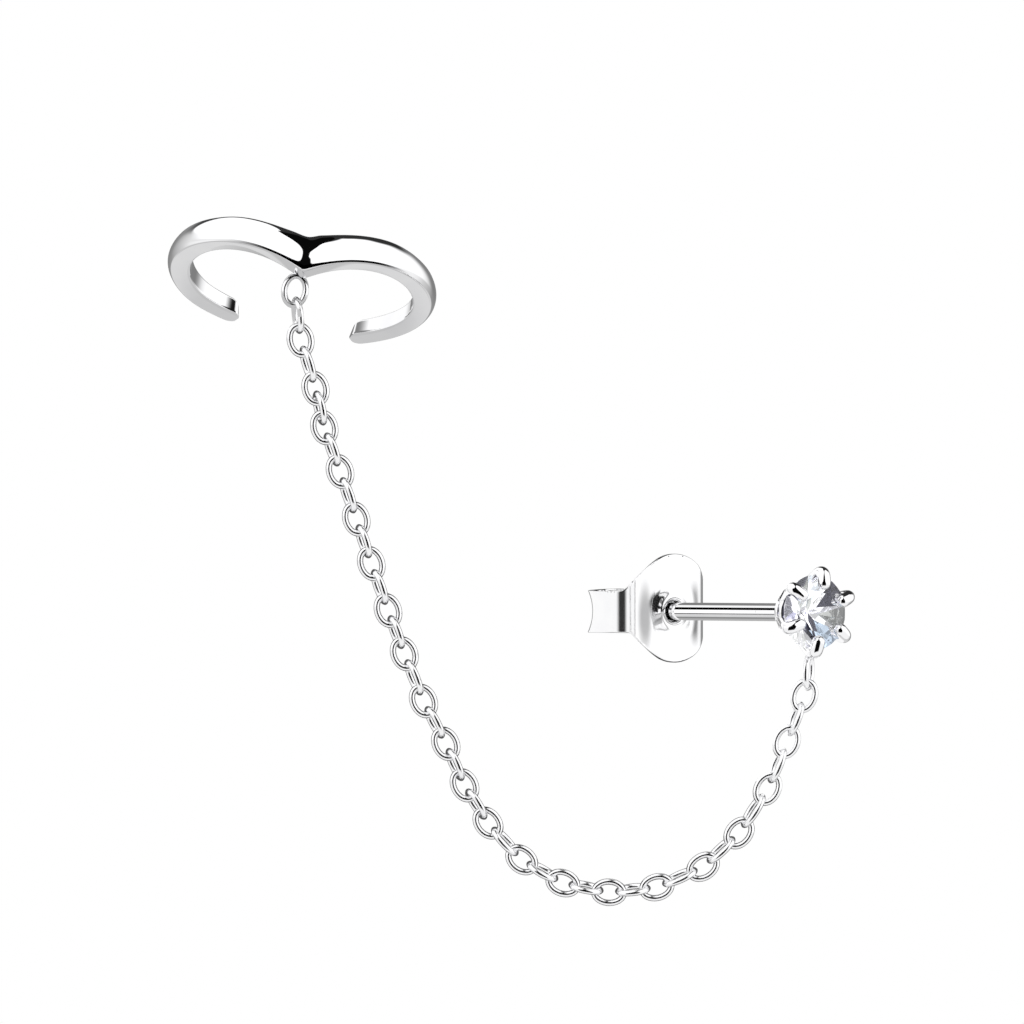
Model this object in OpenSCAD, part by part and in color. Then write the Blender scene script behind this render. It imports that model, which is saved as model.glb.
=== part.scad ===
// Ear chain earring: a stud with a round crystal, a scroll nut on its post,
// a fine cable chain and an open ear cuff with a wishbone front.
// Millimetres. The origin is on the post's axis at the setting's back face.
// The post runs along +Y, the crystal faces -Y and +Z is up. The chain hangs
// in an upright plane that is turned about Z from the crystal's own plane.

/* [Crystal] */
// Diameter of the crystal at its girdle
stone_d = 3.0; // [2.8:0.1:3.2]
// Width of the table as a share of the diameter
table_share = 0.57; // [0.53:0.01:0.62]
// Height of the crown
crown_h = 0.45; // [0.35:0.01:0.5]
// Depth of the pavilion
pavilion_h = 1.29; // [1.1:0.01:1.3]

/* [Setting] */
// Number of prongs
prongs = 6; // [4:1:6]
// Diameter of one prong
prong_d = 0.52; // [0.4:0.02:0.6]
// Distance from the setting's back face to the crystal's girdle
girdle_y = 1.6; // [1.58:0.01:1.7]
// Turn of the first prong from the +X side
prong_turn = 83.2; // [0:0.1:120]
// Diameter of the base disc
base_d = 1.7; // [1.4:0.1:2]

/* [Post] */
// Diameter of the post, 21 gauge
post_d = 0.72; // [0.66:0.01:0.74]
// Length of the post behind the setting
post_len = 12; // [11.8:0.1:12.5]
// Depth of the notch that the nut's scrolls snap into
notch_depth = 0.06; // [0.02:0.01:0.1]

/* [Nut] */
// Distance from the setting's back face to the nut's plate
nut_y = 7.95; // [7:0.05:8]
// Thickness of the nut's sheet metal
sheet = 0.26; // [0.2:0.01:0.28]
// Height of the oval plate
plate_h = 4.4; // [4:0.1:5]
// Half the width of the nut, to the middle of the sheet
nut_half_w = 1.8; // [1.75:0.01:1.9]
// Height of the strips that curl into the scrolls
strip_h = 1.74; // [1.5:0.02:1.9]
// Radial clearance of the nut's hole on the post
nut_gap = 0.04; // [0.03:0.01:0.06]

/* [Cuff] */
// Radius of the cuff to the outer edge of its rim
cuff_r = 5.34; // [5:0.01:5.6]
// Thickness of the band
band_t = 0.8; // [0.7:0.01:0.9]
// Mean height of the band, square to its run
band_h = 0.79; // [0.7:0.01:0.9]
// How much taller the band is at the front, and lower at the ends
band_gain = 0.35; // [0.2:0.01:0.4]
// Bulge of the domed outer face
dome = 0.13; // [0.05:0.01:0.2]
// Depth of the wishbone point below the back of the band
point_dip = 2.03; // [1.5:0.01:2.4]
// Angle over which the point fades into the band
point_angle = 39; // [30:1:50]
// Half angle of the gap at the back
gap_half = 25.5; // [20:0.5:35]

/* [Chain] */
// Width of the chain over its links
chain_w = 1.0; // [0.9:0.05:1.1]

/* [Hidden] */
silver = [0.84, 0.85, 0.86];
clear = [0.86, 0.91, 0.98];

// The plane that the chain hangs in: its turn about Z, and how far it stands
// in front of the origin, square to that plane.
hang_turn = -35;
hang_y = -1.09;

// Route of the chain in its plane: [across, up], from the cuff's point down
// the long arm, round the bottom and up the short arm to the setting.
ROUTE = [
    [-19.8, 12.9], [-19.6, 10.9], [-19.0, 8.9], [-18.7, 7.4], [-18.1, 5.6],
    [-17.4, 3.7], [-16.8, 1.9], [-16.1, 0.1], [-15.5, -1.7], [-14.7, -3.5],
    [-13.9, -5.2], [-13.1, -6.9], [-12.1, -8.4], [-10.8, -9.9], [-9.1, -10.8],
    [-7.3, -11.2], [-5.4, -11.0], [-3.5, -10.2], [-2.1, -8.8], [-1.0, -7.0],
    [-0.2, -5.2], [0.4, -3.4], [0.7, -2.2]
];

// The cuff's middle, its nod towards the viewer, its lean and its turn.
cuff_at = [-14.4, 14.0, 11.8];
cuff_nod = -28;
cuff_lean = 9;
cuff_turn = 1;

// Small gap between pieces that sit in one another.
eps = 0.03;

// ---- crystal -------------------------------------------------------------

// A ring of n points of radius r at height z, turned by a.
function ring(n, r, z, a = 0) =
    [for (i = [0:n - 1]) [r * cos(a + 360 * i / n), r * sin(a + 360 * i / n), z]];

// Round brilliant with its table up at +Z and its girdle at z = 0:
// table, star points, girdle top, girdle bottom, lower points, culet.
module brilliant(d, table, crown, pavilion, edge = 0.03) {
    r = d / 2;
    rt = r * table;
    rs = (r + rt) * 0.5;
    // height of the kites' lower joints, on the bezel planes
    zs = edge + (crown - edge) * (r - rs * cos(22.5) * 1.0) / (r - rt * cos(22.5));
    pts = concat(
        ring(8, rt, crown),              // 0..7   table corners
        ring(8, rs, zs, 22.5),           // 8..15  star points
        ring(16, r, edge),               // 16..31 girdle top
        ring(16, r, -edge),              // 32..47 girdle bottom
        ring(8, r * 0.24, -edge - (pavilion - edge) * 0.79, 22.5), // 48..55
        [[0, 0, -pavilion]]              // 56
    );
    faces = concat(
        [[for (i = [7:-1:0]) i]],
        [for (i = [0:7]) [i, (i + 1) % 8, 8 + i]],
        [for (i = [0:7]) each [
            [i, 8 + i, 16 + 2 * i],
            [i, 16 + 2 * i, 8 + (i + 7) % 8]]],
        [for (i = [0:7]) each [
            [8 + i, 16 + 2 * i + 1, 16 + 2 * i],
            [8 + i, 16 + (2 * i + 2) % 16, 16 + 2 * i + 1]]],
        [for (i = [0:15]) each [
            [16 + i, 16 + (i + 1) % 16, 32 + (i + 1) % 16],
            [16 + i, 32 + (i + 1) % 16, 32 + i]]],
        [for (i = [0:7]) each [
            [32 + 2 * i, 32 + 2 * i + 1, 48 + i],
            [32 + 2 * i + 1, 32 + (2 * i + 2) % 16, 48 + i],
            [32 + 2 * i, 48 + i, 48 + (i + 7) % 8]]],
        [for (i = [0:7]) [48 + i, 56, 48 + (i + 7) % 8]]
    );
    polyhedron(points = pts, faces = faces);
}

module crystal() {
    color(clear)
    translate([0, -girdle_y, 0]) rotate([90, 0, 0]) rotate([0, 0, 11.25])
        brilliant(stone_d, table_share, crown_h, pavilion_h);
}

// ---- setting and post ----------------------------------------------------

// A round bar between two points, with a ball at its end.
module bar(a, b, d) {
    v = b - a;
    len_v = norm(v);
    translate(a)
        rotate([0, acos(v[2] / len_v), atan2(v[1], v[0])])
            cylinder(h = len_v, d = d, $fn = 32);
    translate(b) sphere(d = d, $fn = 32);
}

// One prong in the plane of X and Y: up the basket, then over the crown.
module prong() {
    foot = [base_d / 2 - prong_d / 2 + 0.02, -0.1, 0];
    knee = [stone_d / 2 + 0.05, -girdle_y - 0.15, 0];
    tip = [stone_d / 2 - 0.32, -girdle_y - 0.4, 0];
    bar(foot, knee, prong_d);
    bar(knee, tip, prong_d);
}

// The room that the crystal takes, a little larger than the crystal.
module seat() {
    r = stone_d / 2 + eps;
    rt = stone_d / 2 * table_share + 2 * eps;
    rotate([90, 0, 0]) rotate_extrude($fn = 96)
        polygon([
            [0, girdle_y - pavilion_h - 2 * eps],
            [stone_d * 0.12 + 2 * eps, girdle_y - pavilion_h * 0.79 - eps],
            [r, girdle_y - 0.03 - eps],
            [r, girdle_y + 0.03 + eps],
            [rt, girdle_y + crown_h + eps],
            [0, girdle_y + crown_h + eps]
        ]);
}

// Side view of the post: [radius, distance along the post].
module post() {
    r = post_d / 2;
    rn = r - notch_depth;
    n0 = post_len - 1.15;
    n1 = post_len - 0.7;
    rotate([-90, 0, 0]) rotate_extrude($fn = 64)
        polygon(concat(
            [[0, -0.1], [r, -0.1], [r, n0], [rn, n0 + 0.06], [rn, n1 - 0.06], [r, n1],
             [r, post_len - 0.22]],
            [for (a = [15:15:75]) [r - 0.22 + 0.22 * cos(a), post_len - 0.22 + 0.22 * sin(a)]],
            [[r - 0.22, post_len], [0, post_len]]
        ));
}

module stud_setting() {
    color(silver) {
        difference() {
            union() {
                // base disc that the lobe rests against
                rotate([90, 0, 0]) cylinder(h = 0.22, d = base_d, $fn = 64);
                // gallery ring half way up the basket
                rotate([90, 0, 0]) rotate_extrude($fn = 64)
                    translate([1.0, 0.78]) circle(r = 0.15, $fn = 24);
                for (i = [0:prongs - 1])
                    rotate([0, -prong_turn - i * 360 / prongs, 0]) prong();
            }
            seat();
        }
        post();
    }
}

// ---- scroll nut ----------------------------------------------------------

// Middle line of the right half of the nut's sheet, seen from above:
// flat plate, bend to the back, straight side, curl in to the post.
flat_half = 0.75;
bend_r = nut_half_w - flat_half;
curl_in = post_d / 2 + nut_gap + sheet / 2 + 0.02;
curl_r = (nut_half_w - curl_in) / 2;
curl_y = 3.1;
function bend() = [for (a = [0:10:90])
    [flat_half + bend_r * sin(a), bend_r * (1 - cos(a))]];
function curl() = [for (a = [0:12:264])
    [curl_in + curl_r + curl_r * cos(a) * (a > 180 ? 0.86 : 1) - (a > 180 ? 0.14 * curl_r : 0),
     curl_y + curl_r * sin(a)]];

// Outline of a strip of thickness t along a line of points.
function side(p, t) = [for (i = [0:len(p) - 1])
    let (a = p[max(i - 1, 0)], b = p[min(i + 1, len(p) - 1)], v = (b - a) / norm(b - a))
        p[i] + t * [v[1], -v[0]]];
function strip(p, t) =
    let (l = side(p, -t / 2), r = side(p, t / 2))
        concat(l, [for (i = [len(r) - 1:-1:0]) r[i]]);

// The nut is drawn with its plate's front face at y = 0.
module nut_sheet(line, h) {
    for (m = [0, 1]) mirror([m, 0, 0])
        translate([0, sheet / 2, -h / 2]) linear_extrude(height = h)
            polygon(strip(line, sheet));
}

module nut_outline() {
    // oval plate, a little above the post's axis
    rotate([-90, 0, 0]) translate([0, -0.13, -0.5]) linear_extrude(height = 3)
        polygon([for (a = [0:6:354]) [(nut_half_w + 0.1) * cos(a), plate_h / 2 * sin(a)]]);
}

module ear_nut() {
    hole_r = post_d / 2 + nut_gap;
    color(silver)
    translate([0, nut_y, 0])
    difference() {
        union() {
            difference() {
                union() {
                    intersection() {
                        nut_sheet(concat([[-0.1, 0]], bend()), plate_h + 0.6);
                        nut_outline();
                    }
                    nut_sheet(concat([[-0.1, 0]], bend(), curl()), strip_h);
                }
                rotate([-90, 0, 0]) translate([0, 0, -0.5]) cylinder(h = 1.2, r = 1.0, $fn = 64);
            }
            // funnel and collar round the hole
            rotate([-90, 0, 0]) rotate_extrude($fn = 64)
                polygon([
                    [1.12, 0], [0.99, 0.05], [0.7, 0.5], [0.6, 0.52], [0.6, 0.44],
                    [0.3, 0.44], [0.3, 0.95], [0.74, 0.95], [1.06, 0.36], [1.12, sheet + 0.06]
                ]);
        }
        rotate([-90, 0, 0]) translate([0, 0, -1]) cylinder(h = 3, r = hole_r, $fn = 64);
    }
}

// ---- cuff ----------------------------------------------------------------

// Rise of the band's middle above the wishbone point at angle t.
function rise(t) = point_dip * (1 - exp(-abs(t) / point_angle));
// Its slope along the band.
function slope(t) = point_dip * (180 / PI) / point_angle * exp(-abs(t) / point_angle) / cuff_r;
// Upright height of the band, mitred where it slopes.
function height(t) = (band_h + band_gain * cos(t)) * sqrt(1 + pow(slope(t), 2));
// Filler at the top of the notch.
function notch_fill(t) = 0.2 * exp(-abs(t) / 6);

// Section of the band at angle t as [radius, height], shrunk by k at the ends:
// inner face, flat lower rim, domed outer face, flat upper rim.
function section(t, k) =
    let (h = height(t) / 2 * k, w = band_t * k, m = cuff_r - band_t / 2,
         up = h + notch_fill(t), ri = m - w / 2, ro = m + w / 2)
        concat(
            [[ri, up - 0.06 * k], [ri, -h + 0.06 * k], [ri + 0.06 * k, -h], [ro - 0.03 * k, -h]],
            [for (i = [-4:4]) [ro + dome * k * (1 - i * i / 16),
                               i / 4 * (h * 0.94) + (up - h) * (i + 4) / 8]],
            [[ro - 0.03 * k, up], [ri + 0.06 * k, up]]
        );

// Angles of the sections, closer together at the point and round the ends.
half_span = 180 - gap_half;
round_a = 4.4;
function half_angles() = concat(
    [for (t = [2, 4, 7, 10, 14, 18]) [t, 0]],
    [for (t = [23:5.5:half_span - round_a - 3]) [t, 0]],
    [for (a = [0:15:75]) [half_span - round_a + round_a * sin(a), 1 - cos(a)]]);
function all_angles() =
    let (h = half_angles())
        concat([for (i = [len(h) - 1:-1:0]) [-h[i][0], h[i][1]]], [[0, 0]], h);

function place(p, t) = [p[0] * sin(t), -p[0] * cos(t), p[1] + rise(t)];

module ear_cuff() {
    rows = [for (a = all_angles()) [for (p = section(a[0], 1 - a[1])) place(p, a[0])]];
    n = len(rows[0]);
    last = len(rows) - 1;
    color(silver)
    translate(cuff_at)
        rotate([0, 0, hang_turn]) rotate([0, cuff_lean, 0]) rotate([cuff_nod, 0, 0]) rotate([0, 0, cuff_turn])
            polyhedron(
                points = [for (r = rows) each r],
                faces = concat(
                    [[for (i = [n - 1:-1:0]) i]],
                    [for (j = [0:last - 1]) for (i = [0:n - 1]) each [
                        [j * n + i, (j + 1) * n + (i + 1) % n, (j + 1) * n + i],
                        [j * n + i, j * n + (i + 1) % n, (j + 1) * n + (i + 1) % n]]],
                    [[for (i = [0:n - 1]) last * n + i]]
                ));
}

// ---- chain ---------------------------------------------------------------

// A smooth point on the route, f of the way from point i to the next.
function route(i, f) =
    let (n = len(ROUTE) - 1,
         a = ROUTE[max(i - 1, 0)], b = ROUTE[i], c = ROUTE[min(i + 1, n)], d = ROUTE[min(i + 2, n)])
        0.5 * ((2 * b) + (c - a) * f + (2 * a - 5 * b + 4 * c - d) * f * f
            + (3 * b - a - 3 * c + d) * f * f * f);

module chain() {
    sides = 8;
    line = concat([for (i = [0:len(ROUTE) - 2]) for (f = [0, 0.5]) route(i, f)],
                  [ROUTE[len(ROUTE) - 1]]);
    n = len(line);
    rows = [for (i = [0:n - 1])
        let (a = line[max(i - 1, 0)], b = line[min(i + 1, n - 1)], v = (b - a) / norm(b - a))
            [for (s = [0:sides - 1])
                let (q = 360 * (s + 0.5) / sides)
                    [line[i][0] + chain_w / 2 * cos(q) * v[1], chain_w / 2 * sin(q),
                     line[i][1] - chain_w / 2 * cos(q) * v[0]]]];
    color(silver)
    rotate([0, 0, hang_turn]) translate([0, hang_y, 0])
        polyhedron(
            points = [for (r = rows) each r],
            faces = concat(
                [[for (s = [0:sides - 1]) s]],
                [for (j = [0:n - 2]) for (s = [0:sides - 1]) each [
                    [j * sides + s, (j + 1) * sides + (s + 1) % sides, j * sides + (s + 1) % sides],
                    [j * sides + s, (j + 1) * sides + s, (j + 1) * sides + (s + 1) % sides]]],
                [[for (s = [sides - 1:-1:0]) (n - 1) * sides + s]]
            ));
}

ear_cuff();
chain();
stud_setting();
crystal();
ear_nut();
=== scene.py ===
import math

import bmesh
import bpy
import numpy as np
from mathutils import Matrix, Vector
from mathutils.geometry import delaunay_2d_cdt


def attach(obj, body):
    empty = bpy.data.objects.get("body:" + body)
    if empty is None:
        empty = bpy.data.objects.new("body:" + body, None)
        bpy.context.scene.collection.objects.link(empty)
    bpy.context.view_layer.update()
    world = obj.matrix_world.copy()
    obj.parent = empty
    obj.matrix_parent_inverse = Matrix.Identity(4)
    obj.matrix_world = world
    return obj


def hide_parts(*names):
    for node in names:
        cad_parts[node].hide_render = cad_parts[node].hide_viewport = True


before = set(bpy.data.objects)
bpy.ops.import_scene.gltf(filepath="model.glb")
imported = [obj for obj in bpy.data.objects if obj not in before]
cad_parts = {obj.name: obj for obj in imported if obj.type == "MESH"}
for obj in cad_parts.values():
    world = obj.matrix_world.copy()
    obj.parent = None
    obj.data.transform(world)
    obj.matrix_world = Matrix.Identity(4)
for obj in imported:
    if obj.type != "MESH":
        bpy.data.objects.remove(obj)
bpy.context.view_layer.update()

# Lengths below are millimetres until a mesh is made.
MM = 0.001
rad = math.radians

# ---------------------------------------------------------------- camera ---
# The view is level and 35 degrees off the post's axis. The chain's plane
# faces the camera and is shown at 0.04 mm to the pixel.

VIEW = rad(-35)
BACK = Vector((math.sin(VIEW), -math.cos(VIEW), 0))
RIGHT = Vector((math.cos(VIEW), math.sin(VIEW), 0))
LENS = 600
DISTANCE = 0.04 * 1024 / 36 * LENS + 1.09
MIDDLE = RIGHT * ((512 - 791.5) * 0.04) + Vector((0, 0, (612.5 - 512) * 0.04))

cam_data = bpy.data.cameras.new("camera")
cam_data.lens = LENS
cam_data.sensor_width = 36
cam_data.clip_start = 0.01
cam_data.clip_end = 3
cam = bpy.data.objects.new("camera", cam_data)
cam.location = (MIDDLE + BACK * DISTANCE) * MM
cam.rotation_euler = (rad(90), 0, VIEW)
bpy.context.scene.collection.objects.link(cam)
bpy.context.scene.camera = cam

# --------------------------------------------------------- node shorthand ---


class Nodes:
    """Short calls for building a node tree."""

    def __init__(self, tree):
        self.tree = tree

    def new(self, kind, **values):
        node = self.tree.nodes.new(kind)
        for key, value in values.items():
            setattr(node, key, value)
        return node

    def put(self, socket, value):
        if isinstance(value, bpy.types.NodeSocket):
            self.tree.links.new(value, socket)
        else:
            socket.default_value = value

    def math(self, op, a, b=None, c=None, clamp=False):
        node = self.new("ShaderNodeMath", operation=op, use_clamp=clamp)
        for i, x in enumerate((a, b, c)):
            if x is not None:
                self.put(node.inputs[i], x)
        return node.outputs[0]

    def step(self, x, a, b):
        """0 below a, 1 above b, smooth between; the other way round if a > b."""
        node = self.new("ShaderNodeMapRange", interpolation_type="SMOOTHSTEP")
        flip = a > b
        self.put(node.inputs[0], x)
        self.put(node.inputs[1], min(a, b))
        self.put(node.inputs[2], max(a, b))
        self.put(node.inputs[3], 1.0 if flip else 0.0)
        self.put(node.inputs[4], 0.0 if flip else 1.0)
        return node.outputs[0]

    def mix(self, f, a, b):
        node = self.new("ShaderNodeMix", data_type="RGBA")
        self.put(node.inputs[0], f)
        self.put(node.inputs[6], a)
        self.put(node.inputs[7], b)
        return node.outputs[2]


# -------------------------------------------------------------- materials ---


def silver_material(name, smoothest, roughest):
    mat = bpy.data.materials.new(name)
    mat.use_nodes = True
    n = Nodes(mat.node_tree)
    shader = mat.node_tree.nodes["Principled BSDF"]
    shader.inputs["Metallic"].default_value = 1.0
    where = n.new("ShaderNodeTexCoord").outputs["Object"]
    # faint clouding of the plating
    cloud = n.new("ShaderNodeTexNoise", noise_dimensions="3D")
    n.put(cloud.inputs["Vector"], where)
    cloud.inputs["Scale"].default_value = 900
    cloud.inputs["Detail"].default_value = 3
    tint = n.new("ShaderNodeValToRGB")
    n.put(tint.inputs[0], cloud.outputs["Fac"])
    tint.color_ramp.elements[0].position = 0.3
    tint.color_ramp.elements[0].color = (0.93, 0.93, 0.945, 1)
    tint.color_ramp.elements[1].position = 0.7
    tint.color_ramp.elements[1].color = (0.97, 0.97, 0.975, 1)
    n.put(shader.inputs["Base Color"], tint.outputs[0])
    # polishing marks: long fine streaks, in roughness and as a trace of bump
    stretch = n.new("ShaderNodeMapping")
    n.put(stretch.inputs["Vector"], where)
    stretch.inputs["Rotation"].default_value = (0.3, 0.5, 0.9)
    stretch.inputs["Scale"].default_value = (1, 1, 7)
    marks = n.new("ShaderNodeTexNoise", noise_dimensions="3D")
    n.put(marks.inputs["Vector"], stretch.outputs[0])
    marks.inputs["Scale"].default_value = 5000
    marks.inputs["Detail"].default_value = 4
    rough = n.new("ShaderNodeMapRange")
    n.put(rough.inputs[0], marks.outputs["Fac"])
    rough.inputs[1].default_value = 0.3
    rough.inputs[2].default_value = 0.75
    rough.inputs[3].default_value = smoothest
    rough.inputs[4].default_value = roughest
    # a brushed patch where the mesh asks for one, such as round a solder joint
    brushed = n.math("MULTIPLY", n.new("ShaderNodeAttribute", attribute_name="brushed").outputs["Fac"], 0.38)
    n.put(shader.inputs["Roughness"], n.math("ADD", rough.outputs[0], brushed))
    bump = n.new("ShaderNodeBump")
    bump.inputs["Strength"].default_value = 0.1
    bump.inputs["Distance"].default_value = 0.000001
    n.put(bump.inputs["Height"], marks.outputs["Fac"])
    n.put(shader.inputs["Normal"], bump.outputs[0])
    return mat


def crystal_material():
    """The clear upper part, which the light passes through."""
    mat = bpy.data.materials.new("cut_crystal")
    mat.use_nodes = True
    n = Nodes(mat.node_tree)
    shader = mat.node_tree.nodes["Principled BSDF"]
    shader.inputs["Transmission Weight"].default_value = 1.0
    shader.inputs["IOR"].default_value = 1.62
    where = n.new("ShaderNodeTexCoord").outputs["Object"]
    cloud = n.new("ShaderNodeTexNoise", noise_dimensions="3D")
    n.put(cloud.inputs["Vector"], where)
    cloud.inputs["Scale"].default_value = 700
    tint = n.new("ShaderNodeValToRGB")
    n.put(tint.inputs[0], cloud.outputs["Fac"])
    tint.color_ramp.elements[0].color = (0.98, 0.985, 1.0, 1)
    tint.color_ramp.elements[1].color = (1.0, 1.0, 1.0, 1)
    n.put(shader.inputs["Base Color"], tint.outputs[0])
    rough = n.new("ShaderNodeMapRange")
    n.put(rough.inputs[0], cloud.outputs["Fac"])
    rough.inputs[3].default_value = 0.0
    rough.inputs[4].default_value = 0.004
    n.put(shader.inputs["Roughness"], rough.outputs[0])
    return mat


# painted reflections: the fixed tints of the lower facets, standing in for the light they throw back
FACET_PAINTED_REFLECTIONS = [(1.0, 1.0, 1.0), (0.35, 0.35, 0.47), (0.8, 0.8, 0.84), (0.05, 0.05, 0.07), (0.52, 0.62, 0.74),
         (1.0, 1.0, 1.0), (0.42, 0.43, 0.42), (0.22, 0.27, 0.46)]
TRIANGLE_PAINTED_REFLECTIONS = (1, 3, 6, 0, 2, 3, 0, 3, 1, 0, 6, 0, 7, 4, 0, 6)     # tints round the stone
KITE_PAINTED_REFLECTIONS = (2, 0, 6, 0, 1, 0, 3, 5)


def painted_facet_material():
    """The mirrored lower facets, each with its own painted tint and glow: painted reflections of the light they throw
    back.
    """
    mat = bpy.data.materials.new("crystal_facets_painted_reflections")
    mat.use_nodes = True
    n = Nodes(mat.node_tree)
    shader = mat.node_tree.nodes["Principled BSDF"]
    which = n.new("ShaderNodeAttribute", attribute_name="tint").outputs["Fac"]
    pick = n.new("ShaderNodeValToRGB")
    n.put(pick.inputs[0], which)
    ramp = pick.color_ramp
    ramp.interpolation = "CONSTANT"
    while len(ramp.elements) < len(FACET_PAINTED_REFLECTIONS):
        ramp.elements.new(0.99)
    for i, e in enumerate(ramp.elements):
        e.position = i / len(FACET_PAINTED_REFLECTIONS)
    for i, e in enumerate(ramp.elements):
        e.color = (*FACET_PAINTED_REFLECTIONS[i], 1)
    # painted shading: a slow change of brightness over each facet
    where = n.new("ShaderNodeTexCoord").outputs["Object"]
    cloud = n.new("ShaderNodeTexNoise", noise_dimensions="3D")
    n.put(cloud.inputs["Vector"], where)
    cloud.inputs["Scale"].default_value = 900
    shade = n.new("ShaderNodeMapRange")
    n.put(shade.inputs[0], cloud.outputs["Fac"])
    shade.inputs[1].default_value = 0.35
    shade.inputs[2].default_value = 0.65
    shade.inputs[3].default_value = 0.75
    shade.inputs[4].default_value = 1.05
    tint = n.new("ShaderNodeVectorMath", operation="SCALE")
    n.put(tint.inputs[0], pick.outputs[0])
    n.put(tint.inputs["Scale"], shade.outputs[0])
    n.put(shader.inputs["Base Color"], tint.outputs[0])
    # the facets glow in their tint: painted reflected light
    n.put(shader.inputs["Emission Color"], tint.outputs[0])
    shader.inputs["Emission Strength"].default_value = 0.55
    shader.inputs["Metallic"].default_value = 1.0
    shader.inputs["Roughness"].default_value = 0.03
    return mat


def floor_material():
    mat = bpy.data.materials.new("pale_floor")
    mat.use_nodes = True
    n = Nodes(mat.node_tree)
    shader = mat.node_tree.nodes["Principled BSDF"]
    shader.inputs["Roughness"].default_value = 0.9
    shader.inputs["Specular IOR Level"].default_value = 0.1
    where = n.new("ShaderNodeTexCoord").outputs["Object"]
    grain = n.new("ShaderNodeTexNoise")
    n.put(grain.inputs["Vector"], where)
    grain.inputs["Scale"].default_value = 40
    tint = n.new("ShaderNodeValToRGB")
    n.put(tint.inputs[0], grain.outputs["Fac"])
    tint.color_ramp.elements[0].color = (0.86, 0.86, 0.865, 1)
    tint.color_ramp.elements[1].color = (0.9, 0.9, 0.9, 1)
    n.put(shader.inputs["Base Color"], tint.outputs[0])
    return mat


SILVER = silver_material("polished_silver", 0.008, 0.028)
SILVER_WIRE = silver_material("drawn_silver", 0.14, 0.2)
SILVER_SHEET = silver_material("pressed_silver", 0.08, 0.14)
CRYSTAL = crystal_material()
PAINTED_FACETS = painted_facet_material()

# ----------------------------------------------------------- mesh helpers ---


class Shell:
    """Vertices in millimetres and faces, gathered from several closed parts."""

    def __init__(self):
        self.verts, self.faces = [], []

    def add(self, verts, faces):
        base = len(self.verts)
        self.verts.extend([tuple(float(c) for c in v) for v in verts])
        self.faces.extend([[int(i) + base for i in f] for f in faces])

    def rings(self, rows, closed=False, flip=False):
        """Joins rings of equal length into a skin, with flat ends or closed on itself."""
        n, m = len(rows), len(rows[0])
        verts = [p for row in rows for p in row]
        faces = []
        for j in range(n if closed else n - 1):
            k = (j + 1) % n
            for i in range(m):
                q = (i + 1) % m
                faces.append([j * m + i, j * m + q, k * m + q, k * m + i])
        if not closed:
            faces.append([i for i in range(m)][::-1])
            faces.append([(n - 1) * m + i for i in range(m)])
        if flip:
            faces = [f[::-1] for f in faces]
        self.add(verts, faces)

    def make(self, name, material, smooth=True):
        mesh = bpy.data.meshes.new(name)
        mesh.from_pydata([(x * MM, y * MM, z * MM) for x, y, z in self.verts], [], self.faces)
        mesh.validate()
        mesh.polygons.foreach_set("use_smooth", [smooth] * len(mesh.polygons))
        mesh.update()
        mesh.materials.append(material)
        obj = bpy.data.objects.new(name, mesh)
        bpy.context.scene.collection.objects.link(obj)
        return obj


def placed(matrix, rows):
    """Rows of points, each moved by a matrix."""
    a = np.array(rows, float)
    m = np.array(matrix, float)
    return a @ m[:3, :3].T + m[:3, 3]


def smooth_step(x, a, b):
    t = np.clip((np.asarray(x, float) - a) / (b - a), 0, 1)
    return t * t * (3 - 2 * t)


def tube(shell, path, radii, sides=24, round_end=True, squash=None):
    """A round bar along a path, with a domed far end. squash is not used."""
    path = [Vector(p) for p in path]
    rows, normal = [], None
    for i, p in enumerate(path):
        a, b = path[max(i - 1, 0)], path[min(i + 1, len(path) - 1)]
        t = (b - a).normalized()
        if normal is None:
            normal = t.orthogonal().normalized()
        normal = (normal - t * normal.dot(t)).normalized()
        other = t.cross(normal)
        rows.append([p + (normal * math.cos(2 * math.pi * s / sides)
                          + other * math.sin(2 * math.pi * s / sides)) * radii[i]
                     for s in range(sides)])
    if round_end:
        p, r = path[-1], radii[-1]
        t = (path[-1] - path[-2]).normalized()
        other = t.cross(normal)
        for f in range(1, 9):
            q = f * rad(88) / 8
            rows.append([p + t * r * math.sin(q)
                         + (normal * math.cos(2 * math.pi * s / sides)
                            + other * math.sin(2 * math.pi * s / sides)) * r * math.cos(q)
                         for s in range(sides)])
    shell.rings(rows)


def lathe(shell, profile, sides=96):
    """Turns [radius, distance along +Y] about the post's axis."""
    rows = [[(r * math.cos(2 * math.pi * s / sides), y, r * math.sin(2 * math.pi * s / sides))
             for s in range(sides)] for r, y in profile]
    shell.rings(rows, flip=True)


def arc(cx, cy, r, a0, a1, n):
    return [(cx + r * math.cos(rad(a0 + (a1 - a0) * i / n)),
             cy + r * math.sin(rad(a0 + (a1 - a0) * i / n))) for i in range(n + 1)]


# ------------------------------------------------------------------- cuff ---

CUFF_R, BAND_T, BAND_H, BAND_GAIN, DOME = 5.34, 0.8, 0.79, 0.35, 0.13
DIP, FADE, GAP_HALF = 2.03, 39.0, 25.5
POINT_AT = -1.0          # turn of the wishbone's point along the band
CUFF_PLACE = (Matrix.Translation((-14.4, 14.0, 11.8)) @ Matrix.Rotation(rad(-35), 4, "Z")
              @ Matrix.Rotation(rad(9), 4, "Y") @ Matrix.Rotation(rad(-28), 4, "X")
              @ Matrix.Rotation(rad(1), 4, "Z"))


def bent(t):
    """Angle from the point, rounded very slightly where the two arms meet."""
    return math.sqrt((t - POINT_AT) ** 2 + 1.3 ** 2) - 1.3


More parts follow.
